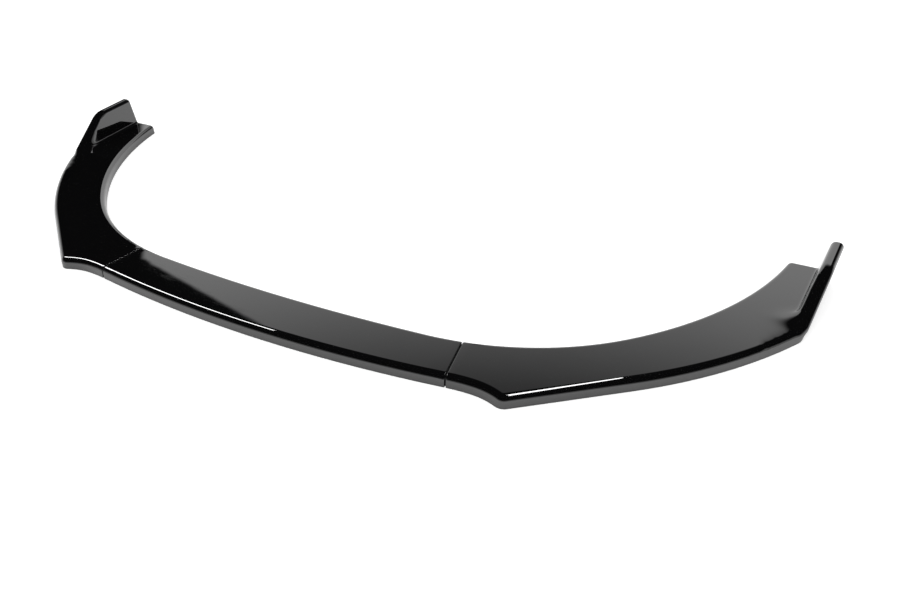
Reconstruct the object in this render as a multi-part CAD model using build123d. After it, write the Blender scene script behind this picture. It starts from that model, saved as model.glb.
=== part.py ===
from build123d import *
from math import acos, asin, cos, degrees, radians, sin, tan
import os

# Front splitter lip: a centre section and two wings, moulded shells open below, bolted end to end.
# Drawn from the front crown: X across the car, Y rearwards, Z up from the floor. Sizes in mm and degrees.
# A heading is the way an edge runs in plan, 0 along +X and 90 along +Y.

# Plate
OVERALL_DEPTH = 594.0
PLATE_HEIGHT = 21.0
WALL = 3.0
FRONT_DRAFT = 4.0
FRONT_ROUND = 12.0
INNER_ROUND = 8.0

# Front bottom edge, from the crown outwards
SEAM_HALF_WIDTH = 350.0
CROWN_RADIUS = 2500.0
SWEEP_RADIUS = 295.0
NOSE_RADIUS = 112.0
NOSE_HEADING = -22.5
APEX_RADIUS = 18.0
FLANK_HEADING = 37.0
FLANK_LENGTH = 192.0
SIDE_RADIUS = 895.0
SIDE_HEADING = 57.2
FIN_CORNER_RADIUS = 40.0
FIN_HEADING = 82.8

# Inner edge, which follows the bumper, from the middle outwards
CENTRE_WIDTH = 99.0
INNER_CROWN_RADIUS = 3613.0
INNER_CROWN_HEADING = 4.4
INNER_BEND_RADIUS = 487.0
INNER_BEND_HEADING = 42.7
INNER_TAIL_RADIUS = 708.0
TAIL_CORNER_RADIUS = 10.0

# Fin that stands on each wing's outer edge
FIN_HEIGHT = 82.5
FIN_UNDERSIDE = 8.0
FIN_RAMP_START = 380.0
FIN_RAMP_ANGLE = 30.0
FIN_RAMP_SKEW = 22.5
FIN_SETBACK = -3.8
FIN_REAR_SETBACK = 3.0
FIN_THICKNESS = 26.5
FIN_OUTER_LEAN = 4.1
FIN_INNER_LEAN = 8.8
FIN_EDGE_ROUND = 9.0
FIN_FRONT_CORNER = 70.0
FIN_REAR_CORNER = 9.0
FIN_CREASE_ROUND = 6.0

# Seam between two sections
SEAM_GROOVE_WIDTH = 2.0
SEAM_GROOVE_DEPTH = 4.0
END_WALL = 3.0
BOLT_SPACING = 44.0
BOLT_DIAMETER = 5.0
BOLT_CLEARANCE = 0.25
BOLT_END = 2.0
BOLT_HEAD_WIDTH = 8.0
BOLT_HEAD_HEIGHT = 3.5
NUT_HEIGHT = 4.0
WASHER_DIAMETER = 10.0
WASHER_THICKNESS = 1.0
THREAD_CLEARANCE = 0.1

# Room that a cutting shape has beyond what it cuts
MARGIN = 60.0
# Gap under which an edge lies on a face, and share of a normal along X that marks a fin's two broad sides
TOUCHING = 0.001
UPRIGHT = 0.6

SEAM_HEADING = degrees(asin(SEAM_HALF_WIDTH / CROWN_RADIUS))
SEAM_POINT = Vector(SEAM_HALF_WIDTH, CROWN_RADIUS * (1 - cos(radians(SEAM_HEADING))))
REACH = OVERALL_DEPTH * 2
BOLT_HOLE = BOLT_DIAMETER + 2 * BOLT_CLEARANCE
BOLT_HEIGHT = (PLATE_HEIGHT - WALL) / 2
BOLT_LENGTH = 2 * (END_WALL + WASHER_THICKNESS) + NUT_HEIGHT + BOLT_END


def along(heading):
    return Vector(cos(radians(heading)), sin(radians(heading)))


def rise(radius, start, end):
    """How far an arc climbs in Y between two headings."""
    return radius * (cos(radians(start)) - cos(radians(end)))


def arcs(start, heading, bends, shift):
    """Tangent arcs, each a radius and an end heading, on a line moved `shift` to its left."""
    edges = []
    point = start
    for radius, end in bends:
        turn = end - heading
        moved = radius - shift if turn > 0 else radius + shift
        edges.append(JernArc(point, along(heading), moved, turn))
        point = edges[-1] @ 1
        heading = end
    return edges


def straight(start, heading, rear):
    """Straight edge that runs on until its Y is `rear`."""
    return Line(start, start + along(heading) * ((rear - start.Y) / sin(radians(heading))))


def front_edges(inset):
    """Right half of the front bottom edge, from the crown to past the rear end."""
    nose = [
        (CROWN_RADIUS, SEAM_HEADING),
        (SWEEP_RADIUS, 0.0),
        (NOSE_RADIUS, NOSE_HEADING),
        (APEX_RADIUS, FLANK_HEADING),
    ]
    edges = arcs(Vector(0, inset), 0.0, nose, inset)
    apex = edges[-1] @ 1
    edges.append(Line(apex, apex + along(FLANK_HEADING) * FLANK_LENGTH))
    side = [(SIDE_RADIUS, SIDE_HEADING), (FIN_CORNER_RADIUS, FIN_HEADING)]
    edges += arcs(edges[-1] @ 1, FLANK_HEADING, side, inset)
    edges.append(straight(edges[-1] @ 1, FIN_HEADING, OVERALL_DEPTH + MARGIN))
    return edges


def inner_edges(inset):
    """Right half of the inner edge, from the middle round the corner of the rear end."""
    bend_y = CENTRE_WIDTH + rise(INNER_CROWN_RADIUS, 0, INNER_CROWN_HEADING)
    bend_y += rise(INNER_BEND_RADIUS, INNER_CROWN_HEADING, INNER_BEND_HEADING)
    tail_y = OVERALL_DEPTH - bend_y - TAIL_CORNER_RADIUS
    tail = cos(radians(INNER_BEND_HEADING)) * INNER_TAIL_RADIUS - tail_y
    tail_heading = degrees(acos(tail / (INNER_TAIL_RADIUS + TAIL_CORNER_RADIUS)))
    bends = [
        (INNER_CROWN_RADIUS, INNER_CROWN_HEADING),
        (INNER_BEND_RADIUS, INNER_BEND_HEADING),
        (INNER_TAIL_RADIUS, tail_heading),
        (TAIL_CORNER_RADIUS, 0.0),
    ]
    return arcs(Vector(0, CENTRE_WIDTH - inset), 0.0, bends, -inset)


def symmetric_face(half, closing):
    """Face that is bounded by `half`, the closing points after it, and their mirror images."""
    points = [half[-1] @ 1] + closing
    right = half + [Line(a, b) for a, b in zip(points, points[1:])]
    left = [edge.mirror(Plane.YZ) for edge in right]
    return make_face(right + left)


def plate(inset):
    """Plate of all three sections in one, with every outer surface set in by `inset`."""
    rear = OVERALL_DEPTH - inset
    front_face = symmetric_face(front_edges(inset), [Vector(0, OVERALL_DEPTH + MARGIN)])
    behind = [Vector(REACH, rear), Vector(REACH, REACH), Vector(0, REACH)]
    bumper_face = symmetric_face(inner_edges(inset), behind)
    bumper = Pos(0, 0, -MARGIN) * extrude(bumper_face, amount=MARGIN * 2)
    body = extrude(front_face, amount=PLATE_HEIGHT - inset, taper=FRONT_DRAFT)
    rim = body.faces().sort_by(Axis.Z)[-1].edges()
    body = fillet([edge for edge in rim if (edge @ 0.5).Y < OVERALL_DEPTH], FRONT_ROUND - inset) - bumper
    rim = body.faces().sort_by(Axis.Z)[-1].edges()
    return fillet([edge for edge in rim if bumper.distance_to(edge @ 0.5) < TOUCHING], INNER_ROUND - inset)


def leaning_prism(setback, lean):
    """Prism over the whole plan whose outer wall leans outwards and is `setback` in at the plate's top."""
    top_setback = setback - (FIN_HEIGHT - PLATE_HEIGHT) * tan(radians(lean))
    face = symmetric_face(front_edges(top_setback), [Vector(0, OVERALL_DEPTH + MARGIN)])
    prism = extrude(face, amount=FIN_HEIGHT, taper=lean)
    return Pos(0, 0, FIN_HEIGHT) * mirror(prism, Plane.XY)


def fin_ramp(inset):
    """Side view of the space under the fin's ramp and top, where the fin's base line starts."""
    slope = radians(FIN_RAMP_ANGLE)
    lift = (FIN_HEIGHT - PLATE_HEIGHT) / tan(slope)
    drop = (PLATE_HEIGHT + MARGIN) / tan(slope)
    outline = Polyline(
        (FIN_RAMP_START - drop, -MARGIN),
        (FIN_RAMP_START + lift, FIN_HEIGHT),
        (OVERALL_DEPTH + MARGIN, FIN_HEIGHT),
        (OVERALL_DEPTH + MARGIN, -MARGIN),
        close=True,
    )
    face = make_face(outline)
    corner = (FIN_RAMP_START + lift, FIN_HEIGHT)
    face = fillet(face.vertices().sort_by_distance(corner)[0], FIN_FRONT_CORNER)
    return offset(face, amount=-inset, kind=Kind.INTERSECTION) if inset else face


def fin_rear(inset):
    """Side view of the space ahead of the fin's rear edge."""
    corner = Pos(OVERALL_DEPTH - FIN_REAR_SETBACK - inset, FIN_HEIGHT - inset)
    face = corner * Rectangle(OVERALL_DEPTH, REACH, align=(Align.MAX, Align.MAX))
    return fillet(face.vertices().sort_by_distance(corner.position)[0], FIN_REAR_CORNER - inset)


def fin(inset):
    """Right wing's fin, from the floor up, with every surface set in by `inset`."""
    outer = leaning_prism(FIN_SETBACK + inset, FIN_OUTER_LEAN)
    inner = leaning_prism(FIN_SETBACK + FIN_THICKNESS - inset, FIN_INNER_LEAN)
    base_start = front_edges(0.0)[-1] @ 0
    skewed = along(-FIN_RAMP_SKEW)
    side_view = Plane.YZ.offset(base_start.X) * fin_ramp(inset)
    under_ramp = extrude(side_view, amount=MARGIN * 2, dir=skewed, both=True)
    blade = (outer - inner) & under_ramp & extrude(Plane.YZ * fin_rear(inset), amount=REACH)
    sides = [face for face in blade.faces() if abs(face.normal_at().X) > UPRIGHT]
    around = [edge for face in sides for edge in face.edges()]
    rim = [edge for edge in around if around.count(edge) == 1 and (edge @ 0.5).Z > TOUCHING]
    return fillet(rim, FIN_EDGE_ROUND - inset)


SEAM_PLANE = Plane(SEAM_POINT, x_dir=along(SEAM_HEADING + 90), z_dir=along(SEAM_HEADING))


def beyond_seam(distance, reach=REACH):
    """Block from `distance` outside the right-hand seam, `reach` long."""
    block = Box(REACH, REACH, reach, align=(Align.CENTER, Align.CENTER, Align.MIN))
    return SEAM_PLANE.offset(distance) * block


def above(height):
    """Block of everything higher than this."""
    return Pos(0, 0, height) * Box(REACH * 2, REACH * 2, REACH, align=(Align.CENTER, Align.CENTER, Align.MIN))


def both_sides(shape):
    return shape + mirror(shape, Plane.YZ)


def at_bolts(shape, depth):
    """Copies of `shape` on the right-hand seam's bolt centres, `depth` along the bolts from the seam."""
    spots = [((CENTRE_WIDTH + side * BOLT_SPACING) / 2, BOLT_HEIGHT, depth) for side in (-1, 1)]
    return [SEAM_PLANE * Pos(*spot) * shape for spot in spots]


def drum(diameter, length):
    return Cylinder(diameter / 2, length, align=(Align.CENTER, Align.CENTER, Align.MIN))


def hexagon(width, length):
    return extrude(RegularPolygon(width / 2, 6, major_radius=False), amount=length)


OUTSIDE = plate(0.0)
INSIDE = plate(WALL)
GROOVE = (OUTSIDE - plate(SEAM_GROOVE_DEPTH)) & beyond_seam(-SEAM_GROOVE_WIDTH / 2, SEAM_GROOVE_WIDTH)
BOLT_HOLES = at_bolts(drum(BOLT_HOLE, BOLT_LENGTH * 2), -BOLT_LENGTH)


def centre_section():
    shell = OUTSIDE - both_sides(beyond_seam(0.0))
    shell -= INSIDE - both_sides(beyond_seam(-END_WALL))
    return shell - both_sides(GROOVE + BOLT_HOLES)


def right_wing():
    """Wing with its fin, which overhangs the plate's outer wall from its underside up."""
    wing = OUTSIDE & beyond_seam(0.0)
    blade = fin(0.0)
    skin = wing + blade
    level = skin.edges().filter_by_position(Axis.Z, PLATE_HEIGHT - TOUCHING, PLATE_HEIGHT + TOUCHING)
    creases = [edge for edge in level if blade.distance_to(edge @ 0.5) < TOUCHING]
    skin = fillet(creases, FIN_CREASE_ROUND) & above(FIN_UNDERSIDE)
    cavity = (INSIDE & beyond_seam(END_WALL)) + (fin(WALL) & above(FIN_UNDERSIDE + WALL))
    shell = skin + (wing - above(FIN_UNDERSIDE)) - cavity
    return shell - GROOVE - BOLT_HOLES


def bolt():
    """Hexagon bolt that points up from the underside of its head."""
    head = hexagon(BOLT_HEAD_WIDTH, BOLT_HEAD_HEIGHT)
    return drum(BOLT_DIAMETER, BOLT_LENGTH) + Pos(0, 0, -BOLT_HEAD_HEIGHT) * head


def nut():
    return hexagon(BOLT_HEAD_WIDTH, NUT_HEIGHT) - drum(BOLT_DIAMETER + 2 * THREAD_CLEARANCE, NUT_HEIGHT)


def washer():
    return drum(WASHER_DIAMETER, WASHER_THICKNESS) - drum(BOLT_HOLE, WASHER_THICKNESS)


def save(name, shape):
    """Write one piece as a node, moved so that the lip's box stands centred on the origin."""
    node = Pos(0, -OVERALL_DEPTH / 2, 0) * shape.solid()
    node.label = name
    export_step(node, f"parts/{name}.step")


def save_pair(name, shape):
    """Write the right-hand piece and its mirror image on the left."""
    save(f"right_{name}", shape)
    save(f"left_{name}", mirror(shape, Plane.YZ))


# Bolts go in from the centre section's side, and each fastener's place is counted from the seam
FASTENERS = (
    ("bolt", bolt(), -END_WALL - WASHER_THICKNESS),
    ("head_washer", washer(), -END_WALL - WASHER_THICKNESS),
    ("nut_washer", washer(), END_WALL),
    ("nut", nut(), END_WALL + WASHER_THICKNESS),
)

os.makedirs("parts", exist_ok=True)
save("centre_section", centre_section())
save_pair("wing", right_wing())
for name, piece, depth in FASTENERS:
    for place, placed in zip(("front", "rear"), at_bolts(piece, depth)):
        save_pair(f"{place}_{name}", placed)
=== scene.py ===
# %% [markdown]
# # Front splitter lip
# A front splitter lip is a blade of gloss black plastic that is fixed under a car's front bumper.
# This one comes as three mouldings, a centre section and two wings, which are bolted together end to end.
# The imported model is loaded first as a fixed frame, so every piece made here goes where that frame says.

import math

import bmesh
import bpy
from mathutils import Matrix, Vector
from mathutils.bvhtree import BVHTree
from mathutils.kdtree import KDTree


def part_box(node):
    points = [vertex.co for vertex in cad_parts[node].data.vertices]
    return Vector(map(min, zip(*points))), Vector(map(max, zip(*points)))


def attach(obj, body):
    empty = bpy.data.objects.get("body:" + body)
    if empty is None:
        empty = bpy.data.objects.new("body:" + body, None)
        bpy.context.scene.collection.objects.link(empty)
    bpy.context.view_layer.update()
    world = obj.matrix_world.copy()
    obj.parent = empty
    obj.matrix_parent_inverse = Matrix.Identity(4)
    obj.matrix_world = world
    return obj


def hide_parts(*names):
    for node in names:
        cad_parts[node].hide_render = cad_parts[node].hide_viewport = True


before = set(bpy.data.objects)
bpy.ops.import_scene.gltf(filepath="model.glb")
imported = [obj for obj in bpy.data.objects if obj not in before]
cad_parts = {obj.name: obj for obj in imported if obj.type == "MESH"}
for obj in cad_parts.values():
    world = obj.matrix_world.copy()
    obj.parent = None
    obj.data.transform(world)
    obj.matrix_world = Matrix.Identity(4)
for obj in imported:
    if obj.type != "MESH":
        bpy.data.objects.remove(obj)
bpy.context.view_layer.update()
scene = bpy.context.scene
scene.view_settings.view_transform = "Standard"
SECTIONS = ("centre_section", "left_wing", "right_wing")

# %% [markdown]
# ## Camera
# The camera stands ahead of the lip, to its right, and looks down at about 35 degrees.
# Place, direction and lens were fitted to the outline, so the lip fills the picture as it should.

# %% Camera
CAMERA_PLACE = Vector((0.7269, -1.0082, 0.7329))
CAMERA_LOOK = Vector((-0.35202, 0.73706, -0.57693))
CAMERA_LENS = 28.634
SENSOR_WIDTH = 36.0

camera_data = bpy.data.cameras.new("camera")
camera_data.sensor_fit = "HORIZONTAL"
camera_data.sensor_width = SENSOR_WIDTH
camera_data.lens = CAMERA_LENS
camera = bpy.data.objects.new("camera", camera_data)
camera.location = CAMERA_PLACE
camera.rotation_euler = CAMERA_LOOK.to_track_quat("-Z", "Y").to_euler()
scene.collection.objects.link(camera)
scene.camera = camera
print("camera at", tuple(round(value, 3) for value in CAMERA_PLACE))

# %% [markdown]
# ## Node helpers
# Materials and node trees are built in code. Two short helpers add a node and join two sockets,
# which keeps each recipe below down to a few lines.

# %% Node helpers


def add(tree, kind, label="", **settings):
    """Add a node of this kind, with its properties set."""
    node = tree.nodes.new(kind)
    node.label = label
    for name, value in settings.items():
        setattr(node, name, value)
    return node


def feed(tree, node, **inputs):
    """Set or join inputs by name, with an underscore for each space."""
    for name, value in inputs.items():
        socket = node.inputs[name.replace("_", " ")]
        if isinstance(value, bpy.types.NodeSocket):
            tree.links.new(value, socket)
        else:
            socket.default_value = value
    return node


# %% [markdown]
# ## Studio
# The lip lies on a pale floor in a white studio. Gloss black plastic shows almost nothing of its own
# colour: what the eye reads is what the surface mirrors. So the world is white to the eye and lights at a
# plain level, but the gloss meets a dark room, in which a white backdrop stands above a pale horizon.
# Each side of the backdrop is a plane through the lip, and a ray on the inner side of all of them meets it.
# No real studio is white and dark at once: the sides and levels were fitted to the view of one photograph.

# %% World
LIGHT = 1.0
BACKDROP = 1.02
HORIZON = 0.6
BACKDROP_SIDES = {
    "left side": ((0.684, 0.694, 0.224), 0.0, 0.01),
    "slanting side": ((0.173, 0.772, -0.611), -0.002, 0.004),
    "right side": ((-0.970, 0.242, 0.0), 0.0, 0.05),
    "top": ((0.0, 0.0, -1.0), -0.74, -0.49),
}
HORIZON_FADE = ((0.0, 0.0, -1.0), -0.30, -0.10)


def beyond(tree, direction, label, plane):
    """Share of 0 to 1 by how far a direction lies on the inner side of a plane."""
    normal, start, end = plane
    along = add(tree, "ShaderNodeVectorMath", label, operation="DOT_PRODUCT")
    tree.links.new(direction, along.inputs[0])
    along.inputs[1].default_value = normal
    share = add(tree, "ShaderNodeMapRange", label, interpolation_type="SMOOTHSTEP")
    feed(tree, share, Value=along.outputs["Value"], From_Min=start, From_Max=end)
    return share.outputs["Result"]


def combine(tree, operation, first, second):
    """Result of one sum on two sockets or numbers."""
    node = add(tree, "ShaderNodeMath", operation=operation)
    for socket, value in zip(node.inputs, (first, second)):
        if isinstance(value, bpy.types.NodeSocket):
            tree.links.new(value, socket)
        else:
            socket.default_value = value
    return node.outputs[0]


world = bpy.data.worlds.new("studio")
world.use_nodes = True
scene.world = world
tree = world.node_tree
tree.nodes.clear()
paths = add(tree, "ShaderNodeLightPath")
direction = add(tree, "ShaderNodeTexCoord").outputs["Generated"]
backdrop = BACKDROP
for label, plane in BACKDROP_SIDES.items():
    backdrop = combine(tree, "MULTIPLY", beyond(tree, direction, label, plane), backdrop)
horizon = combine(tree, "MULTIPLY", beyond(tree, direction, "horizon", HORIZON_FADE), HORIZON)
room = combine(tree, "MAXIMUM", backdrop, horizon)
mirrored = add(tree, "ShaderNodeMix", "mirrored or not", data_type="FLOAT")
feed(tree, mirrored, Factor=paths.outputs["Is Glossy Ray"], A=LIGHT, B=room)
sky = feed(tree, add(tree, "ShaderNodeBackground"), Color=(1, 1, 1, 1), Strength=mirrored.outputs["Result"])
tree.links.new(sky.outputs[0], add(tree, "ShaderNodeOutputWorld").inputs["Surface"])
print("world lights at", LIGHT, "and mirrors a backdrop with", len(BACKDROP_SIDES), "sides")

# %% Floor
FLOOR_RADIUS = 30.0
FLOOR_COLOUR = (0.96, 0.96, 0.96, 1)
FLOOR_GLOW = 0.42
MIRRORED_GLOW = 0.15

floor_material = bpy.data.materials.new("pale_floor")
floor_material.use_nodes = True
tree = floor_material.node_tree
floor_shader = tree.nodes["Principled BSDF"]
paths = add(tree, "ShaderNodeLightPath")
seen = combine(tree, "MULTIPLY", paths.outputs["Is Camera Ray"], FLOOR_GLOW)
glow = combine(tree, "ADD", seen, combine(tree, "MULTIPLY", paths.outputs["Is Glossy Ray"], MIRRORED_GLOW))
feed(tree, floor_shader, Base_Color=FLOOR_COLOUR, Roughness=0.9, Specular_IOR_Level=0.0)
feed(tree, floor_shader, Emission_Color=(1, 1, 1, 1), Emission_Strength=glow)

floor_mesh = bpy.data.meshes.new("floor")
shape = bmesh.new()
bmesh.ops.create_circle(shape, cap_ends=True, radius=FLOOR_RADIUS, segments=64)
shape.to_mesh(floor_mesh)
shape.free()
floor_mesh.materials.append(floor_material)
floor = bpy.data.objects.new("floor", floor_mesh)
scene.collection.objects.link(floor)
print("floor of", FLOOR_RADIUS, "m radius")

# %% [markdown]
# ## Cards
# Two soft boxes draw the thin white lines along the rounded front edges.
# They stand far off, so each is given by the directions of its corners, and only the gloss sees them:
# they throw no light and no shadow, and no camera meets them. A flag keeps them off the fins:
# a ray that began behind it passes through the card. Going back along the ray finds where it began.

# %% Cards
CARD_DISTANCE = 300.0
SOFT_BOX_GLOW = 14.0
FLAG = ((0.0, -1.0, 0.0), -0.045, -0.02)


def toward(azimuth, elevation):
    """Direction that is `azimuth` degrees to the right of +Y and `elevation` degrees up."""
    turn, lift = math.radians(azimuth), math.radians(elevation)
    return Vector((math.sin(turn) * math.cos(lift), math.cos(turn) * math.cos(lift), math.sin(lift)))


def card(name, corners, glow):
    """Flat bright card whose corners lie in these directions."""
    material = bpy.data.materials.new(name)
    material.use_nodes = True
    tree = material.node_tree
    tree.nodes.clear()
    paths = add(tree, "ShaderNodeLightPath")
    here = add(tree, "ShaderNodeNewGeometry")
    back = add(tree, "ShaderNodeVectorMath", "back along the ray", operation="SCALE")
    feed(tree, back, Vector=here.outputs["Incoming"], Scale=paths.outputs["Ray Length"])
    start = add(tree, "ShaderNodeVectorMath", "where the ray began", operation="ADD")
    tree.links.new(here.outputs["Position"], start.inputs[0])
    tree.links.new(back.outputs[0], start.inputs[1])
    light = feed(tree, add(tree, "ShaderNodeEmission"), Color=(1, 1, 1, 1), Strength=glow)
    flagged = feed(tree, add(tree, "ShaderNodeMixShader"), Fac=beyond(tree, start.outputs[0], "flag", FLAG))
    tree.links.new(add(tree, "ShaderNodeBsdfTransparent").outputs[0], flagged.inputs[1])
    tree.links.new(light.outputs[0], flagged.inputs[2])
    tree.links.new(flagged.outputs[0], add(tree, "ShaderNodeOutputMaterial").inputs["Surface"])
    points = [toward(*corner) for corner in corners]
    middle = sum(points, Vector()).normalized()
    mesh = bpy.data.meshes.new(name)
    mesh.from_pydata([p * (CARD_DISTANCE / p.dot(middle)) for p in points], [], [range(len(points))])
    mesh.materials.append(material)
    piece = bpy.data.objects.new(name, mesh)
    scene.collection.objects.link(piece)
    for ray in ("camera", "diffuse", "transmission", "volume_scatter", "shadow"):
        setattr(piece, "visible_" + ray, False)
    print(name, "has", len(corners), "corners")


card("left_soft_box", [(-69.9, 54.5), (-76.8, 29.2), (-86.6, 31.6), (-84.8, 56.7)], SOFT_BOX_GLOW)
card("top_soft_box", [(25.6, 76.6), (101, 72), (16.8, 63.7), (0.2, 53.6)], SOFT_BOX_GLOW)

# %% [markdown]
# ## Handling marks
# However clean it is, a moulding has been wiped, stacked and carried. Its faces are never quite flat: they
# wave a little where the plastic shrank, they carry a fine grain, and cloth and fingers leave smears and
# specks of dust. Every finish on this part shows these to some degree, so one node group makes them and each
# finish sets its share.

# %% Handling marks
MARK_SIZES = ("Wave Scale", "Wave Depth", "Grain Scale", "Grain Depth", "Smear Scale", "Dust Scale")
WIPE_TURN = math.radians(24)
WIPE_STRETCH = (1.0, 4.5, 2.0)
SMEAR_FADE = (0.5, 0.72)
SPECK_FADE = (0.16, 0.08)
SPECKLESS_SHARE = 0.86


def handling_marks():
    """Node group that puts out a height in metres and masks for smears and dust."""
    group = bpy.data.node_groups.new("handling_marks", "ShaderNodeTree")
    for name in MARK_SIZES:
        group.interface.new_socket(name, in_out="INPUT", socket_type="NodeSocketFloat")
    for name in ("Height", "Smear", "Dust"):
        group.interface.new_socket(name, in_out="OUTPUT", socket_type="NodeSocketFloat")
    sizes = add(group, "NodeGroupInput").outputs
    place = add(group, "ShaderNodeTexCoord").outputs["Object"]

    heights = []
    for label in ("Wave", "Grain"):
        noise = add(group, "ShaderNodeTexNoise", label)
        feed(group, noise, Vector=place, Scale=sizes[label + " Scale"], Detail=1.5, Roughness=0.45)
        centred = combine(group, "SUBTRACT", noise.outputs[0], 0.5)
        heights.append(combine(group, "MULTIPLY", centred, sizes[label + " Depth"]))

    wiped = add(group, "ShaderNodeMapping", "along the wiping cloth")
    feed(group, wiped, Vector=place, Rotation=(0, 0, WIPE_TURN), Scale=WIPE_STRETCH)
    streaks = feed(group, add(group, "ShaderNodeTexNoise", "streaks"), Vector=wiped.outputs[0])
    feed(group, streaks, Scale=sizes["Smear Scale"], Detail=5.0, Roughness=0.6, Distortion=0.8)
    smear = add(group, "ShaderNodeMapRange", "smear", interpolation_type="SMOOTHSTEP")
    feed(group, smear, Value=streaks.outputs[0], From_Min=SMEAR_FADE[0], From_Max=SMEAR_FADE[1])

    specks = add(group, "ShaderNodeTexVoronoi", "specks")
    feed(group, specks, Vector=place, Scale=sizes["Dust Scale"])
    round_speck = add(group, "ShaderNodeMapRange", "speck", interpolation_type="SMOOTHSTEP")
    feed(group, round_speck, Value=specks.outputs["Distance"])
    feed(group, round_speck, From_Min=SPECK_FADE[0], From_Max=SPECK_FADE[1])
    cell = add(group, "ShaderNodeSeparateColor")
    feed(group, cell, Color=specks.outputs["Color"])
    few = combine(group, "GREATER_THAN", cell.outputs[0], SPECKLESS_SHARE)

    ends = add(group, "NodeGroupOutput")
    feed(group, ends, Height=combine(group, "ADD", *heights), Smear=smear.outputs["Result"])
    feed(group, ends, Dust=combine(group, "MULTIPLY", round_speck.outputs["Result"], few))
    return group


MARKS = handling_marks()
print(MARKS.name, "has", len(MARKS.nodes), "nodes")

# %% [markdown]
# ## Finishes
# The outside comes from a polished mould and mirrors like lacquer. The hollow inside was never meant to be
# seen, so it keeps the satin of a plain steel mould. The bolts, nuts and washers are zinc plated, pale and a
# little blotchy. Each finish mixes its clean look with dust in the colour and with smears in the roughness.

# %% Finishes


def finish(name, clean, dusty, smooth, smeared, marks, **shine):
    """Material whose colour takes up dust and whose roughness takes up smears."""
    material = bpy.data.materials.new(name)
    material.use_nodes = True
    tree = material.node_tree
    shader = tree.nodes["Principled BSDF"]
    group = add(tree, "ShaderNodeGroup", node_tree=MARKS)
    for label, value in zip(MARK_SIZES, marks):
        group.inputs[label].default_value = value
    colour = add(tree, "ShaderNodeMix", data_type="RGBA")
    tree.links.new(group.outputs["Dust"], colour.inputs["Factor"])
    colour.inputs[6].default_value = (*clean, 1)
    colour.inputs[7].default_value = (*dusty, 1)
    rough = add(tree, "ShaderNodeMapRange")
    feed(tree, rough, Value=group.outputs["Smear"], To_Min=smooth, To_Max=smeared)
    bump = add(tree, "ShaderNodeBump")
    feed(tree, bump, Height=group.outputs["Height"], Strength=1.0, Distance=1.0)
    feed(tree, shader, Base_Color=colour.outputs[2], Roughness=rough.outputs["Result"])
    feed(tree, shader, Normal=bump.outputs[0], **shine)
    return material


GLOSS = finish(
    "gloss_black_plastic", clean=(0.003, 0.003, 0.0032), dusty=(0.05, 0.05, 0.048), smooth=0.02, smeared=0.05,
    marks=(17.0, 2.4e-5, 260.0, 4e-7, 26.0, 330.0), IOR=1.57, Specular_IOR_Level=1.0,
)
SATIN = finish(
    "satin_mould_side", clean=(0.011, 0.011, 0.012), dusty=(0.06, 0.058, 0.054), smooth=0.42, smeared=0.56,
    marks=(22.0, 3e-5, 900.0, 1.2e-5, 14.0, 240.0), IOR=1.5,
)
ZINC = finish(
    "zinc_plate", clean=(0.62, 0.63, 0.65), dusty=(0.42, 0.41, 0.38), smooth=0.27, smeared=0.44,
    marks=(260.0, 8e-6, 2600.0, 1.5e-6, 190.0, 900.0), Metallic=1.0,
)
print("finishes", GLOSS.name, SATIN.name, ZINC.name)

# %% [markdown]
# ## Seam edges
# Each moulding's form comes from the frame, and two details are added that the frame leaves out.
# The first is at the seams. A real mould has no knife edges, so narrow strips are cut beside each seam and
# sunk in a quarter round. The front edge is part of a circle and the seams lie square to it, so one heading
# places them both. Only points with nothing of the shell in front of them are sunk.

# %% Seam edges
FRONT_Y = -0.297
FRONT_RADIUS = 2.500
SEAM_X = 0.350
SEAM_HEADING = math.asin(SEAM_X / FRONT_RADIUS)
SEAM_PLACE = Vector((SEAM_X, FRONT_RADIUS * (1 - math.cos(SEAM_HEADING)) + FRONT_Y, 0.0))
SEAM_WAY = Vector((math.cos(SEAM_HEADING), math.sin(SEAM_HEADING), 0.0))
SEAM_LIP = 0.001
SEAM_ROUND = 0.0015
SEAM_STEPS = (0.0, 0.5, 0.8)
SEAM_TOUCH = 1e-4
CUT_SLACK = 1e-7
END_WALL_FACING = 0.7
UNDERSIDE_FACING = -0.5
PEEK_START = 3e-4
PEEK_REACH = 0.02


def cut_to_triangles(shape):
    """Cut every face with more than three corners into triangles."""
    bmesh.ops.triangulate(shape, faces=[face for face in shape.faces if len(face.verts) > 3])


def beside_seam(point):
    """Distance from the nearest seam, outwards, with both halves of the lip folded onto the right."""
    return (Vector((abs(point.x), point.y, 0.0)) - SEAM_PLACE).dot(SEAM_WAY)


def outer_normal(vert):
    """Mean normal of the skin at a vertex beside a seam, or None off the skin."""
    normal = Vector()
    for face in vert.link_faces:
        across = abs(face.normal.x * SEAM_WAY.x) + abs(face.normal.y * SEAM_WAY.y)
        away = abs(beside_seam(face.calc_center_median()))
        if away > SEAM_LIP and across < END_WALL_FACING and face.normal.z > UNDERSIDE_FACING:
            normal += face.normal * face.calc_area()
    return normal.normalized() if normal.length > 0 else None


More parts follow.
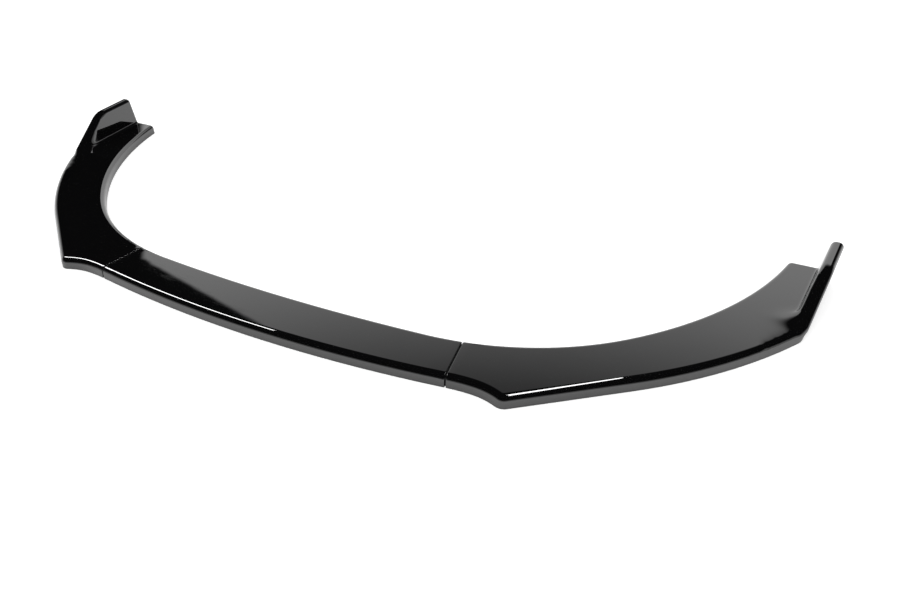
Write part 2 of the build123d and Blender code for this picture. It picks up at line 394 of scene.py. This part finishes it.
def round_seam_edges(shape):
    """Cut narrow strips beside each seam and sink them in a quarter round."""
    for side in (1.0, -1.0):
        way = Vector((side * SEAM_WAY.x, SEAM_WAY.y, 0.0))
        place = Vector((side * SEAM_PLACE.x, SEAM_PLACE.y, 0.0))
        for step in SEAM_STEPS:
            for hand in (1.0, -1.0):
                cut = place + way * hand * (SEAM_LIP + SEAM_ROUND * (1.0 - step))
                geom = shape.verts[:] + shape.edges[:] + shape.faces[:]
                bmesh.ops.bisect_plane(shape, geom=geom, dist=CUT_SLACK, plane_co=cut, plane_no=way)
    cut_to_triangles(shape)
    shape.normal_update()
    tree = BVHTree.FromBMesh(shape)
    sunk = []
    for vert in shape.verts:
        step = 1.0 - (abs(beside_seam(vert.co)) - SEAM_LIP) / SEAM_ROUND
        if SEAM_TOUCH < step < 1.0 + SEAM_TOUCH / SEAM_ROUND:
            normal = outer_normal(vert)
            if normal and tree.ray_cast(vert.co + normal * PEEK_START, normal, PEEK_REACH)[0] is None:
                sunk.append((vert, normal, min(1.0, step)))
    for vert, normal, step in sunk:
        vert.co -= normal * SEAM_ROUND * (1.0 - math.sqrt(1.0 - step * step))
        vert.co.z = max(vert.co.z, 0.0)
    return len(sunk)


print("seams", SEAM_X, "m either side, turned by", round(math.degrees(SEAM_HEADING), 2), "degrees")

# %% [markdown]
# ## Foot of a fin
# The second detail is the foot of each fin, which flows into the plate. Long thin triangles can't be
# smoothed well, so those near the foot are joined, cut until they are small, and evened out. That can fold
# two faces flat onto each other or leave a face with no area, so stray faces are mended before and after.

# %% Foot of a fin
FOOT_PLACE = Vector((0.815, 0.074, 0.022))
FOOT_REACH = 0.085
FOOT_RIM = 0.003
FOOT_RISE = 0.006
FOOT_CORE = 0.15
FOOT_FLOWING = 0.25
FOOT_TRIANGLE = 0.0045
FOOT_CUTS = 9
FOOT_WELD = 0.0012
FOOT_FLAT = math.radians(4)
MEND_REACH = 1e-5
MEND_TURNS = 3


def foot_share(point):
    """1 at the foot of a fin and 0 beyond its reach, and 0 along the bottom edges."""
    away = (Vector((abs(point.x), point.y, point.z)) - FOOT_PLACE).length / FOOT_REACH
    share = max(0.0, 1.0 - away)
    lift = min(1.0, max(0.0, (point.z - FOOT_RIM) / FOOT_RISE))
    return min(1.0, 2.0 * share) * lift


def near_foot(edge):
    """Whether an edge comes within reach of the foot of a fin."""
    first, last = (vert.co.copy() for vert in edge.verts)
    if first.x + last.x < 0:
        first.x, last.x = -first.x, -last.x
    way = last - first
    along = min(1.0, max(0.0, (FOOT_PLACE - first).dot(way) / max(way.length_squared, 1e-12)))
    return (first + way * along - FOOT_PLACE).length < FOOT_REACH


def mend(shape):
    """Join points that lie on one another and take out pairs of faces that are folded flat together."""
    for turn in range(MEND_TURNS):
        bmesh.ops.dissolve_degenerate(shape, dist=MEND_REACH, edges=shape.edges)
        cut_to_triangles(shape)
        corners = {}
        for face in shape.faces:
            corners.setdefault(frozenset(face.verts), []).append(face)
        folded = [face for faces in corners.values() if len(faces) > 1 for face in faces]
        bmesh.ops.delete(shape, geom=folded, context="FACES")
    shape.normal_update()


def refine_foot(shape):
    """Even out the triangles at the foot of a fin and cut them until they are small."""
    close = [vert for vert in shape.verts if foot_share(vert.co) > FOOT_CORE]
    bmesh.ops.remove_doubles(shape, verts=close, dist=FOOT_WELD)
    mend(shape)
    for turn in range(FOOT_CUTS):
        long = [edge for edge in shape.edges if edge.calc_length() > FOOT_TRIANGLE and near_foot(edge)]
        if not long:
            break
        bmesh.ops.subdivide_edges(shape, edges=long, cuts=1)
        cut_to_triangles(shape)
        even = [edge for edge in shape.edges if near_foot(edge) and edge.calc_face_angle(1.0) < FOOT_FLAT]
        faces = list({face for edge in even for face in edge.link_faces})
        bmesh.ops.beautify_fill(shape, faces=faces, edges=even, method="AREA")
    mend(shape)
    return sum(1 for vert in shape.verts if foot_share(vert.co) > 0)


print("feet at", tuple(round(value, 3) for value in FOOT_PLACE), "and mirrored, reach", FOOT_REACH, "m")

# %% [markdown]
# ## Welded copies
# The frame's triangles arrive loose, face by face. A copy is welded, given both details and shaded smoothly,
# but for its sharp edges. Modifiers come next, and a second helper puts their result in place of the mesh.

# %% Welded copies
WELD = 1e-6
SHARP_ANGLE = math.radians(35)


def welded_copy(node):
    """Copy of a node's mesh with its loose triangles joined, smooth but for its sharp edges."""
    shape = bmesh.new()
    shape.from_mesh(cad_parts[node].data)
    bmesh.ops.remove_doubles(shape, verts=shape.verts, dist=WELD)
    rounded = round_seam_edges(shape)
    refined = refine_foot(shape)
    for edge in shape.edges:
        flowing = any(foot_share(vert.co) > FOOT_FLOWING for vert in edge.verts)
        edge.smooth = edge.is_manifold and (flowing or edge.calc_face_angle(0.0) < SHARP_ANGLE)
    for face in shape.faces:
        face.smooth = True
    mesh = bpy.data.meshes.new(node + "_skin")
    shape.to_mesh(mesh)
    shape.free()
    mesh.materials.clear()
    print(node, "has", rounded, "points sunk and", refined, "at its foot")
    return mesh


def plain_mesh(piece):
    """Swap a piece's mesh for the result of its modifiers."""
    evaluated = piece.evaluated_get(bpy.context.evaluated_depsgraph_get())
    mesh = bpy.data.meshes.new_from_object(evaluated)
    piece.modifiers.clear()
    piece.data = mesh
    mesh.name = piece.name
    return mesh


# %% [markdown]
# ## Inside and outside
# A section is a shell that is open below. A face belongs to the inside where something of the same shell lies
# above a point a little way off it, which a ray cast upwards tells. Those faces and the faces in the seams
# take the satin finish, the rest the gloss.

# %% Inside and outside
STAND_OFF = 0.006


def paint_inside(mesh):
    """Give the faces under the shell's own roof and in the seams the second material."""
    points = [vert.co for vert in mesh.vertices]
    tree = BVHTree.FromPolygons(points, [face.vertices for face in mesh.polygons])
    count = 0
    for face in mesh.polygons:
        start = face.center + face.normal * STAND_OFF
        covered = tree.ray_cast(start, Vector((0, 0, 1)))[0] is not None
        if covered or abs(beside_seam(face.center)) < SEAM_LIP - SEAM_TOUCH:
            face.material_index = 1
            count += 1
    return count


# %% [markdown]
# ## Shading normals
# Gloss shows every flat triangle, so three sets of corner normals are worked out here. None of them changes
# the shape. The front edge takes the normals of a true quarter round, and the foot of each fin takes averaged
# ones. The fins' inner faces lean in the frame, but the photograph mirrors the plate as a more upright face
# would, so their normals are turned upright. There the shading does not agree with the geometry.

# %% Shading normals
NORMAL_TURNS = 25
PLATE_TOP = 0.021
FRONT_ROUND = 0.012
FRONT_DRAFT = math.radians(4)
FRONT_CENTRE = PLATE_TOP - FRONT_ROUND
RIM_HEIGHT = FRONT_CENTRE + FRONT_ROUND * math.sin(FRONT_DRAFT)
RIM_SLACK = 2e-4
RIM_FACING = 0.3
TOP_SLACK = 1e-5
ROUND_SLACK = 0.001
SAME_WAY = 0.5
SEAM_CLEAR = 0.004
FIN_LEAN = math.sin(math.radians(8.8))
FIN_LEAN_SLACK = 0.03
FIN_INWARD = 0.85
FIN_FACE_FOOT = 0.022
FIN_START_X = 0.75


def upright_fin_faces(mesh, normals):
    """Turn only the normals of the fins' flat inner faces upright. The faces keep their lean."""
    count = 0
    for loop in mesh.loops:
        normal = normals[loop.index]
        place = mesh.vertices[loop.vertex_index].co
        inward = -normal.x if place.x > 0 else normal.x
        leaning = inward > FIN_INWARD and abs(normal.z - FIN_LEAN) < FIN_LEAN_SLACK
        if leaning and place.z > FIN_FACE_FOOT and abs(place.x) > FIN_START_X:
            normals[loop.index] = Vector((normal.x, normal.y, 0.0)).normalized()
            count += 1
    return count


def mean_normals(mesh, normals):
    """Mean of the corner normals at each vertex."""
    means = [Vector() for vert in mesh.vertices]
    for loop in mesh.loops:
        means[loop.vertex_index] += normals[loop.index]
    return [mean.normalized() for mean in means]


def front_rim(mesh, means):
    """Where the outer wall turns into its rounded top edge, with the way that the wall faces."""
    rim = []
    for vert, mean in zip(mesh.vertices, means):
        outward = Vector((math.copysign(0.6, vert.co.x), -0.8, 0.0))
        if abs(vert.co.z - RIM_HEIGHT) < RIM_SLACK and mean.dot(outward) > RIM_FACING:
            facing = Vector((mean.x, mean.y, 0.0)).normalized()
            rim.append((Vector((vert.co.x, vert.co.y, 0.0)), facing))
    return rim


def round_front_normals(mesh, normals):
    """Give the rounded front edge the normals of a true quarter round."""
    means = mean_normals(mesh, normals)
    rim = front_rim(mesh, means)
    tree = KDTree(len(rim))
    for index, (place, facing) in enumerate(rim):
        tree.insert(place, index)
    tree.balance()
    found = {}
    for vert in mesh.vertices:
        at_height = RIM_HEIGHT - RIM_SLACK < vert.co.z < PLATE_TOP + TOP_SLACK
        if not at_height or abs(beside_seam(vert.co)) < SEAM_CLEAR:
            continue
        here = Vector((vert.co.x, vert.co.y, 0.0))
        (near, facing), (other, turned) = (rim[index] for _, index, _ in tree.find_n(here, 2))
        along = Vector((-facing.y, facing.x, 0.0))
        first, last = abs((near - here).dot(along)), abs((other - here).dot(along))
        share = first / max(first + last, 1e-9)
        facing = facing.lerp(turned, share).normalized()
        lift = min(1.0, (vert.co.z - FRONT_CENTRE) / FRONT_ROUND)
        level = math.sqrt(1.0 - lift * lift)
        inset = (near.lerp(other, share) - here).dot(facing)
        true = Vector((facing.x * level, facing.y * level, lift))
        on_edge = abs(inset - FRONT_ROUND * (math.cos(FRONT_DRAFT) - level)) < ROUND_SLACK
        if on_edge and means[vert.index].dot(true) > SAME_WAY:
            found[vert.index] = true
    for loop in mesh.loops:
        if loop.vertex_index in found:
            flowing = min(1.0, 4.0 * foot_share(mesh.vertices[loop.vertex_index].co))
            blend = found[loop.vertex_index].lerp(normals[loop.index], flowing)
            normals[loop.index] = blend.normalized()
    return len(found)


def even_foot_normals(mesh, normals):
    """Average the normals at the foot of a fin with those around them, so that the gloss flows."""
    edged = {index for edge in mesh.edges if edge.use_edge_sharp for index in edge.vertices}
    shares = {vert.index: foot_share(vert.co) for vert in mesh.vertices if vert.index not in edged}
    shares = {index: min(1.0, 3.0 * share) for index, share in shares.items() if share > 0}
    flow = {index: Vector() for index in shares}
    for loop in mesh.loops:
        if loop.vertex_index in flow:
            flow[loop.vertex_index] += normals[loop.index]
    around = {index: [] for index in shares}
    for edge in mesh.edges:
        first, last = edge.vertices
        if first in around and last in around:
            around[first].append(last)
            around[last].append(first)
    for turn in range(NORMAL_TURNS):
        unit = {index: normal.normalized() for index, normal in flow.items()}
        flow = {index: sum((unit[other] for other in around[index]), unit[index]) for index in unit}
    for loop in mesh.loops:
        share = shares.get(loop.vertex_index, 0.0)
        if share > 0:
            even = flow[loop.vertex_index].normalized()
            normals[loop.index] = normals[loop.index].lerp(even, share).normalized()
    return len(shares)


# %% [markdown]
# ## Skins
# Each section gets its skin. A Smooth modifier, held by a vertex group, lets the foot flow, and a Weighted
# Normal modifier gives wide flat faces the say over narrow ones. Then the corner normals are set.

# %% Skins
FOOT_TURNS = 400


def held_outside(vert):
    """Share of the smoothing that a vertex takes, little where it faces outwards, to keep the outline."""
    outward = vert.normal.x if vert.co.x > 0 else -vert.normal.x
    return 1.0 - 0.9 * min(1.0, max(0.0, (outward - 0.1) / 0.4))


def let_foot_flow(piece):
    """Smooth the foot of a fin by each vertex's share, on a piece that has one."""
    shares = {vert.index: foot_share(vert.co) * held_outside(vert) for vert in piece.data.vertices}
    if any(shares.values()):
        foot = piece.vertex_groups.new(name="foot")
        for index, share in shares.items():
            foot.add([index], share, "REPLACE")
        flow = piece.modifiers.new("flowing foot", "SMOOTH")
        flow.vertex_group = foot.name
        flow.factor = 0.5
        flow.iterations = FOOT_TURNS


for node in SECTIONS:
    mesh = welded_copy(node)
    mesh.materials.append(GLOSS)
    mesh.materials.append(SATIN)
    piece = bpy.data.objects.new(node + "_skin", mesh)
    scene.collection.objects.link(piece)
    let_foot_flow(piece)
    flat = piece.modifiers.new("flat faces first", "WEIGHTED_NORMAL")
    flat.mode = "FACE_AREA"
    flat.weight = 50
    flat.keep_sharp = True
    mesh = plain_mesh(piece)
    normals = [corner.vector.copy() for corner in mesh.corner_normals]
    upright = upright_fin_faces(mesh, normals)
    edged = round_front_normals(mesh, normals)
    evened = even_foot_normals(mesh, normals)
    mesh.normals_split_custom_set(normals)
    inside = paint_inside(mesh)
    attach(piece, "root")
    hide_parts(node)
    print(piece.name, "has", len(mesh.polygons), "faces,", inside, "of them inside")
    print("normals set:", edged, "points on the edge,", evened, "at a foot,", upright, "corners upright")

# %% [markdown]
# ## Seam fasteners
# Two bolts cross each seam inside the hollow, each with a washer under its head and another under its nut.
# The same few parts repeat at every place, so Geometry Nodes draw one of each and set it out on points.
# A point carries the way its bolt runs, and the tree ends in real geometry with its finish.

# %% Geometry Nodes helpers
SEAM_SIDES = {"right": 1.0, "left": -1.0}
SEAM_ROWS = ("front", "rear")


def fastener_tree(name, sizes):
    """Empty tree with its places, named sizes and finish going in and the pieces coming out."""
    tree = bpy.data.node_groups.new(name, "GeometryNodeTree")
    tree.interface.new_socket("Places", in_out="INPUT", socket_type="NodeSocketGeometry")
    for size in sizes:
        kind = "NodeSocketInt" if size == "Corners" else "NodeSocketFloat"
        tree.interface.new_socket(size, in_out="INPUT", socket_type=kind)
    tree.interface.new_socket("Finish", in_out="INPUT", socket_type="NodeSocketMaterial")
    tree.interface.new_socket("Pieces", in_out="OUTPUT", socket_type="NodeSocketGeometry")
    return tree, add(tree, "NodeGroupInput").outputs


def moved(tree, geometry, z=0.0, turn=0.0):
    """Geometry raised by z and turned about Z."""
    lift = add(tree, "ShaderNodeCombineXYZ")
    feed(tree, lift, Z=z)
    shift = feed(tree, add(tree, "GeometryNodeTransform"), Geometry=geometry, Translation=lift.outputs[0])
    shift.inputs["Rotation"].default_value = (0, 0, turn)
    return shift.outputs[0]


def joined(tree, *parts):
    """All parts as one geometry."""
    join = add(tree, "GeometryNodeJoinGeometry")
    for part in parts:
        tree.links.new(part, join.inputs[0])
    return join.outputs[0]


def set_out(tree, sizes, part):
    """Copies of a part on the places, each turned to its bolt, made real and given its finish."""
    way = add(tree, "GeometryNodeInputNamedAttribute", data_type="FLOAT_VECTOR")
    feed(tree, way, Name="bolt_way")
    facing = add(tree, "FunctionNodeAlignRotationToVector", axis="Z")
    feed(tree, facing, Vector=way.outputs["Attribute"])
    copies = add(tree, "GeometryNodeInstanceOnPoints")
    feed(tree, copies, Points=sizes["Places"], Instance=part, Rotation=facing.outputs[0])
    real = feed(tree, add(tree, "GeometryNodeRealizeInstances"), Geometry=copies.outputs[0])
    done = add(tree, "GeometryNodeSetMaterial")
    feed(tree, done, Geometry=real.outputs[0], Material=sizes["Finish"])
    feed(tree, add(tree, "NodeGroupOutput"), Pieces=done.outputs[0])
    return tree


# %% Bolt, nut and washer trees
ROUND_CORNERS = 24
CROWN_CORNERS = 32
BORE_CORNERS = 32
HEX_TURN = math.radians(30)
HEAD_BODY = 0.86
CROWN_RIM = 0.49
CROWN_FACE = 0.42
JOIN_REACH = 1e-6


def bolt_tree():
    """Hexagon bolt that points up from the underside of its head, with a thread wound round its core."""
    tree, sizes = fastener_tree("seam_bolt", ("Diameter", "Length", "Pitch", "Head Width", "Head Height"))
    depth = combine(tree, "MULTIPLY", sizes["Pitch"], 0.5)
    outer = combine(tree, "MULTIPLY", sizes["Diameter"], 0.5)
    middle = combine(tree, "SUBTRACT", outer, depth)
    core = add(tree, "GeometryNodeMeshCylinder")
    feed(tree, core, Vertices=ROUND_CORNERS, Radius=middle, Depth=sizes["Length"])
    turns = combine(tree, "DIVIDE", sizes["Length"], sizes["Pitch"])
    wind = add(tree, "GeometryNodeCurveSpiral")
    feed(tree, wind, Resolution=ROUND_CORNERS, Rotations=turns, Height=sizes["Length"])
    feed(tree, wind, Start_Radius=middle, End_Radius=middle)
    ridge = feed(tree, add(tree, "GeometryNodeCurvePrimitiveCircle"), Resolution=3, Radius=depth)
    thread = add(tree, "GeometryNodeCurveToMesh")
    feed(tree, thread, Curve=wind.outputs[0], Profile_Curve=ridge.outputs[0], Fill_Caps=True)
    corner = combine(tree, "DIVIDE", sizes["Head Width"], math.sqrt(3))
    body = combine(tree, "MULTIPLY", sizes["Head Height"], HEAD_BODY)
    head = feed(tree, add(tree, "GeometryNodeMeshCylinder"), Vertices=6, Radius=corner, Depth=body)
    crown = add(tree, "GeometryNodeMeshCone")
    rim = combine(tree, "MULTIPLY", sizes["Head Width"], CROWN_RIM)
    face = combine(tree, "MULTIPLY", sizes["Head Width"], CROWN_FACE)
    tip = combine(tree, "SUBTRACT", sizes["Head Height"], body)
    feed(tree, crown, Vertices=CROWN_CORNERS, Radius_Top=rim, Radius_Bottom=face, Depth=tip)
    part = joined(
        tree,
        moved(tree, core.outputs[0], combine(tree, "MULTIPLY", sizes["Length"], 0.5)),
        thread.outputs[0],
        moved(tree, head.outputs[0], combine(tree, "MULTIPLY", body, -0.5), HEX_TURN),
        moved(tree, crown.outputs[0], combine(tree, "MULTIPLY", sizes["Head Height"], -1.0)),
    )
    return set_out(tree, sizes, part)


def bored_plate_tree():
    """Plate with a round bore: a nut with six corners, or a washer with many."""
    tree, sizes = fastener_tree("bored_plate", ("Corners", "Outer Radius", "Bore Radius", "Thickness"))
    outline = add(tree, "GeometryNodeCurvePrimitiveCircle")
    feed(tree, outline, Resolution=sizes["Corners"], Radius=sizes["Outer Radius"])
    bore = add(tree, "GeometryNodeCurvePrimitiveCircle")
    feed(tree, bore, Resolution=BORE_CORNERS, Radius=sizes["Bore Radius"])
    curves = joined(tree, moved(tree, outline.outputs[0], turn=HEX_TURN), bore.outputs[0])
    flat = feed(tree, add(tree, "GeometryNodeFillCurve"), Curve=curves)
    rise = add(tree, "GeometryNodeExtrudeMesh")
    feed(tree, rise, Mesh=flat.outputs[0], Offset_Scale=sizes["Thickness"], Individual=False)
    under = feed(tree, add(tree, "GeometryNodeFlipFaces"), Mesh=flat.outputs[0])
    whole = joined(tree, rise.outputs[0], under.outputs[0])
    part = feed(tree, add(tree, "GeometryNodeMergeByDistance"), Geometry=whole, Distance=JOIN_REACH)
    return set_out(tree, sizes, part.outputs[0])


BOLT_TREE = bolt_tree()
PLATE_TREE = bored_plate_tree()
print("trees", BOLT_TREE.name, len(BOLT_TREE.nodes), PLATE_TREE.name, len(PLATE_TREE.nodes))

# %% Set the fasteners out
BOLT = {"Diameter": 0.005, "Length": 0.014, "Pitch": 0.0008, "Head Width": 0.008, "Head Height": 0.0035}
NUT = {"Corners": 6, "Outer Radius": 0.008 / math.sqrt(3), "Bore Radius": 0.0026, "Thickness": 0.004}
WASHER = {"Corners": 64, "Outer Radius": 0.005, "Bore Radius": 0.00275, "Thickness": 0.001}
EDGE_ROUND = 0.00015
EDGE_SHARP = math.radians(50)


def seam_fasteners(name, kinds, tree, sizes, middle):
    """One piece from a tree, on the places of the nodes that it stands for."""
    places, ways, nodes = [], [], []
    for side, sign in SEAM_SIDES.items():
        way = Vector((sign * SEAM_WAY.x, SEAM_WAY.y, 0.0))
        for node in (f"{side}_{row}_{kind}" for row in SEAM_ROWS for kind in kinds):
            low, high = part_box(node)
            places.append((low + high) / 2 - way * middle)
            ways.append(way)
            nodes.append(node)
    mesh = bpy.data.meshes.new(name)
    mesh.from_pydata(places, [], [])
    attribute = mesh.attributes.new("bolt_way", "FLOAT_VECTOR", "POINT")
    for item, way in zip(attribute.data, ways):
        item.vector = way
    piece = bpy.data.objects.new(name, mesh)
    scene.collection.objects.link(piece)
    modifier = piece.modifiers.new("set out", "NODES")
    modifier.node_group = tree
    for socket in tree.interface.items_tree:
        if socket.in_out == "INPUT" and socket.name in sizes:
            modifier[socket.identifier] = sizes[socket.name]
        if socket.name == "Finish":
            modifier[socket.identifier] = ZINC
    edges = piece.modifiers.new("rounded edges", "BEVEL")
    edges.width = EDGE_ROUND
    edges.segments = 2
    edges.limit_method = "ANGLE"
    edges.angle_limit = EDGE_SHARP
    mesh = plain_mesh(piece)
    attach(piece, "root")
    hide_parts(*nodes)
    print(name, "has", len(mesh.polygons), "faces at", len(places), "places")


seam_fasteners("seam_bolts", ("bolt",), BOLT_TREE, BOLT, (BOLT["Length"] - BOLT["Head Height"]) / 2)
seam_fasteners("seam_nuts", ("nut",), PLATE_TREE, NUT, NUT["Thickness"] / 2)
seam_fasteners("seam_washers", ("head_washer", "nut_washer"), PLATE_TREE, WASHER, WASHER["Thickness"] / 2)
